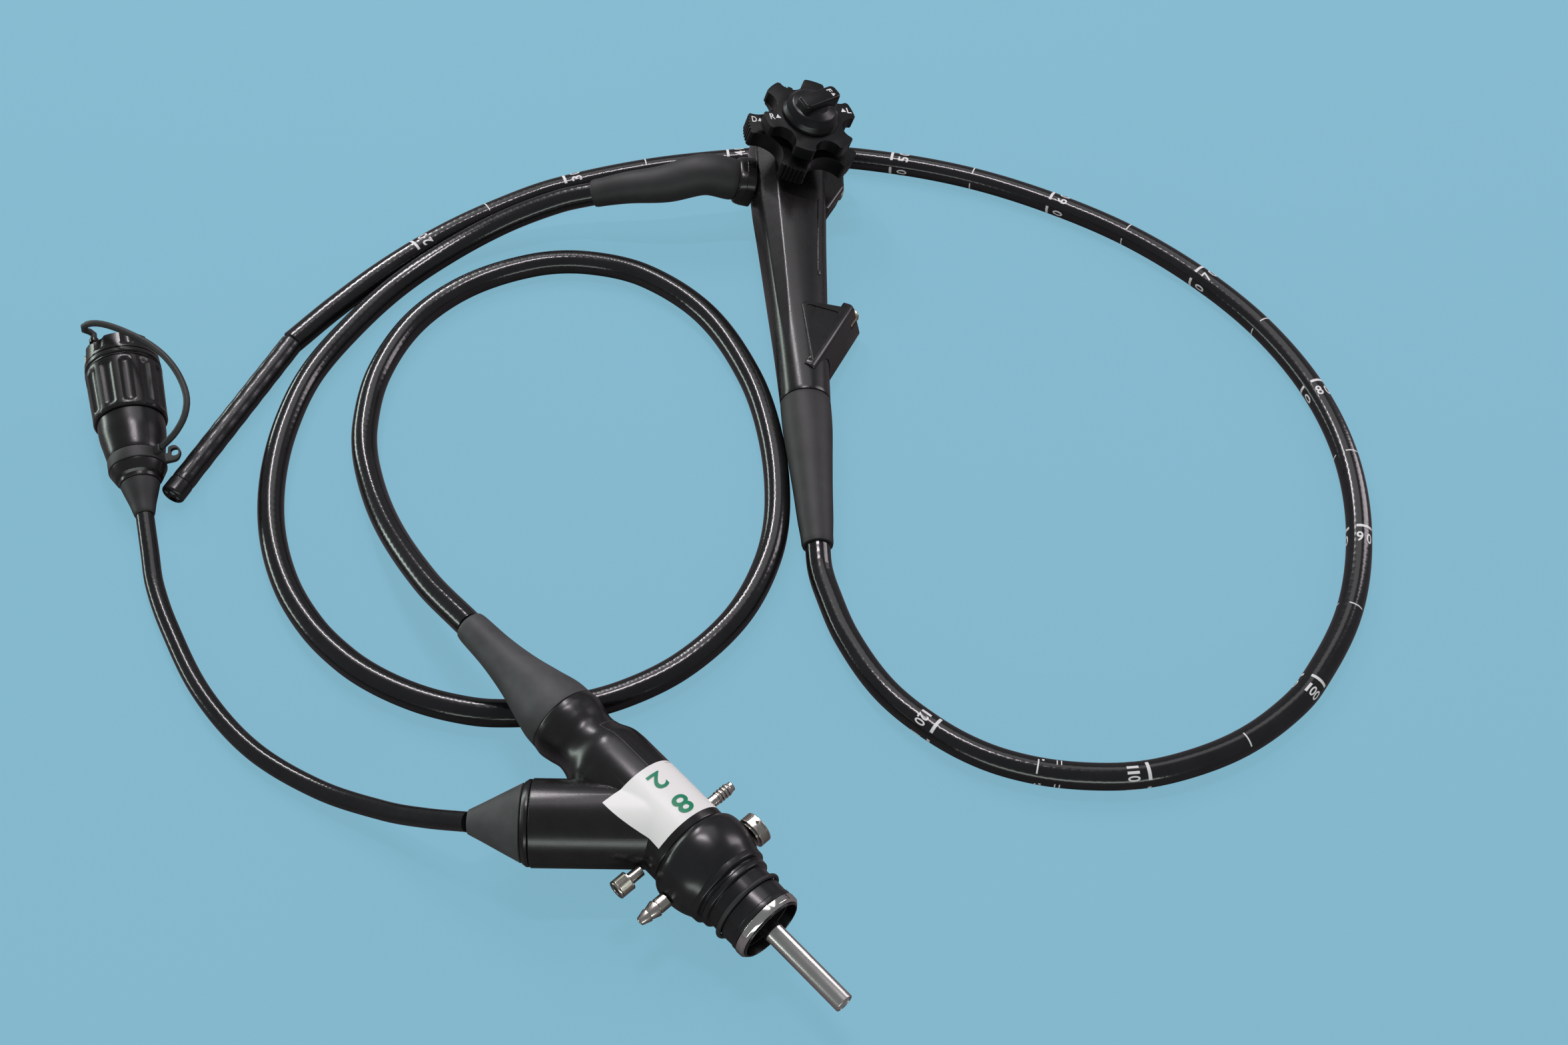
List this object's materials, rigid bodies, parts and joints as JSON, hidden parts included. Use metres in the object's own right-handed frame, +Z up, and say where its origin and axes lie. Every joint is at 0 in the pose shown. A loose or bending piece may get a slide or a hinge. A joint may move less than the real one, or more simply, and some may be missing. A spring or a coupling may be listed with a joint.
{
  "type": "flexible endoscope",
  "caption": "Flexible endoscope with a two-knob control section, steerable insertion tube, universal cord, light guide connector and capped video plug.",
  "frame": {"origin": "on the table, under the middle of the bounding box of the instrument without its cords", "axes": "+X to the right and +Y away from the viewer as the instrument lies coiled on a table, +Z up"},
  "size_m": [0.6719, 0.5516, 0.0829],
  "materials": {
    "satin_black": "moulded with a satin grain",
    "gloss_black": "polished",
    "sheath_black": "smooth flexible sheath",
    "boot_rubber": "matt",
    "steel": "fine turned",
    "polished_steel": "polished",
    "brass": "machined",
    "glass": "polished",
    "switch_rubber": "matt"
  },
  "bodies": {
    "endoscope_body": {"air_water_cylinder": "steel", "arm_collar": "satin_black", "bending_base": "steel", "bending_cover": "sheath_black", "cable_cone": "boot_rubber", "cap_tether": "boot_rubber", "connector_boot": "boot_rubber", "connector_housing": "satin_black", "connector_nose": "gloss_black", "contact_block": "brass", "cord_boot": "boot_rubber", "cord_collar": "satin_black", "drain_nozzle": "steel", "grip_boot": "boot_rubber", "grip_housing": "satin_black", "head_housing": "satin_black", "insertion_tube": "sheath_black", "knob_shaft": "steel", "light_guide_glass": "glass", "light_guide_rod": "steel", "plug_body": "satin_black", "plug_boot": "boot_rubber", "port_housing": "satin_black", "port_mouth": "brass", "retainer_ring": "boot_rubber", "rim_ring": "polished_steel", "seal_ring": "boot_rubber", "suction_cylinder": "steel", "suction_drum": "steel", "universal_cord": "sheath_black", "vent_connector": "steel", "video_cable": "sheath_black", "water_pipe": "steel"},
    "up_down_knob": {"ud_knob": "satin_black", "ud_hub": "satin_black"},
    "right_left_knob": {"rl_knob": "satin_black"},
    "right_left_brake": {"rl_brake_knob": "satin_black"},
    "up_down_brake": {"ud_brake_lever": "satin_black"},
    "coupling": {"coupling_ring": "satin_black"},
    "cap": {"plug_cap": "satin_black"},
    "tip": {"distal_tip": "gloss_black", "objective_lens": "glass", "light_lens_1": "glass", "light_lens_2": "glass"},
    "switch_1_key": {"switch_1": "switch_rubber"},
    "switch_2_key": {"switch_2": "switch_rubber"},
    "switch_3_key": {"switch_3": "switch_rubber"},
    "link_1": {"bending_link_1": "steel"},
    "link_2": {"bending_link_2": "steel"},
    "link_3": {"bending_link_3": "steel"},
    "link_4": {"bending_link_4": "steel"},
    "link_5": {"bending_link_5": "steel"},
    "link_6": {"bending_link_6": "steel"},
    "link_7": {"bending_link_7": "steel"},
    "link_8": {"bending_link_8": "steel"}
  },
  "joints": [
    {"name": "up_down_turn", "type": "hinge", "parent": "endoscope_body", "child": "up_down_knob", "pos_m": [0.14672, 0.24008, 0.05103], "axis": [0.2973, -0.0842, 0.9511], "range_deg": [-90, 170]},
    {"name": "right_left_turn", "type": "hinge", "parent": "endoscope_body", "child": "right_left_knob", "pos_m": [0.15058, 0.23898, 0.0634], "axis": [0.2973, -0.0842, 0.9511], "range_deg": [-130, 130]},
    {"name": "right_left_brake_turn", "type": "hinge", "parent": "endoscope_body", "child": "right_left_brake", "pos_m": [0.15326, 0.23822, 0.07196], "axis": [0.2973, -0.0842, 0.9511], "range_deg": [0, 90]},
    {"name": "up_down_brake_swing", "type": "hinge", "parent": "endoscope_body", "child": "up_down_brake", "pos_m": [0.14404, 0.24083, 0.04247], "axis": [0.2973, -0.0842, 0.9511], "range_deg": [0, 60]},
    {"name": "switch_1_press", "type": "slide", "parent": "endoscope_body", "child": "switch_1_key", "axis": [0.0533, -0.9931, -0.1045], "range_m": [0, 0.0012], "stiffness_N_per_m": 300},
    {"name": "switch_2_press", "type": "slide", "parent": "endoscope_body", "child": "switch_2_key", "axis": [0.0533, -0.9931, -0.1045], "range_m": [0, 0.0012], "stiffness_N_per_m": 300},
    {"name": "switch_3_press", "type": "slide", "parent": "endoscope_body", "child": "switch_3_key", "axis": [0.0533, -0.9931, -0.1045], "range_m": [0, 0.0012], "stiffness_N_per_m": 300},
    {"name": "coupling_turn", "type": "hinge", "parent": "endoscope_body", "child": "coupling", "pos_m": [-0.2083, 0.06389, 0.02116], "axis": [-0.296, 0.9445, 0.1426], "range_deg": [0, 45]},
    {"name": "cap_pull", "type": "slide", "parent": "endoscope_body", "child": "cap", "axis": [-0.296, 0.9445, 0.1426], "range_m": [0, 0.02], "deforming": ["cap_tether"]},
    {"name": "bend_1", "type": "hinge", "parent": "endoscope_body", "child": "link_1", "pos_m": [-0.1382, 0.10897, 0.0066], "axis": [-0.862, 0.3416, 0.3746], "range_deg": [-20, 20], "deforming": ["bending_cover"]},
    {"name": "bend_2", "type": "hinge", "parent": "link_1", "child": "link_2", "pos_m": [-0.14244, 0.09828, 0.0066], "axis": [-0.862, 0.3416, 0.3746], "range_deg": [-20, 20]},
    {"name": "bend_3", "type": "hinge", "parent": "link_2", "child": "link_3", "pos_m": [-0.14667, 0.08759, 0.0066], "axis": [-0.862, 0.3416, 0.3746], "range_deg": [-20, 20]},
    {"name": "bend_4", "type": "hinge", "parent": "link_3", "child": "link_4", "pos_m": [-0.15091, 0.0769, 0.0066], "axis": [-0.862, 0.3416, 0.3746], "range_deg": [-20, 20]},
    {"name": "bend_5", "type": "hinge", "parent": "link_4", "child": "link_5", "pos_m": [-0.15515, 0.0662, 0.0066], "axis": [-0.862, 0.3416, 0.3746], "range_deg": [-20, 20]},
    {"name": "bend_6", "type": "hinge", "parent": "link_5", "child": "link_6", "pos_m": [-0.15939, 0.05551, 0.0066], "axis": [-0.862, 0.3416, 0.3746], "range_deg": [-20, 20]},
    {"name": "bend_7", "type": "hinge", "parent": "link_6", "child": "link_7", "pos_m": [-0.16362, 0.04482, 0.0066], "axis": [-0.862, 0.3416, 0.3746], "range_deg": [-20, 20]},
    {"name": "bend_8", "type": "hinge", "parent": "link_7", "child": "link_8", "pos_m": [-0.16786, 0.03413, 0.0066], "axis": [-0.862, 0.3416, 0.3746], "range_deg": [-20, 20]},
    {"name": "bend_9", "type": "hinge", "parent": "link_8", "child": "tip", "pos_m": [-0.1721, 0.02344, 0.0066], "axis": [-0.862, 0.3416, 0.3746], "range_deg": [-20, 20]}
  ],
  "couplings": [
    {"joint": "bend_1", "follows": "up_down_turn", "ratio": 0.11765},
    {"joint": "bend_2", "follows": "up_down_turn", "ratio": 0.11765},
    {"joint": "bend_3", "follows": "up_down_turn", "ratio": 0.11765},
    {"joint": "bend_4", "follows": "up_down_turn", "ratio": 0.11765},
    {"joint": "bend_5", "follows": "up_down_turn", "ratio": 0.11765},
    {"joint": "bend_6", "follows": "up_down_turn", "ratio": 0.11765},
    {"joint": "bend_7", "follows": "up_down_turn", "ratio": 0.11765},
    {"joint": "bend_8", "follows": "up_down_turn", "ratio": 0.11765},
    {"joint": "bend_9", "follows": "up_down_turn", "ratio": 0.11765}
  ]
}
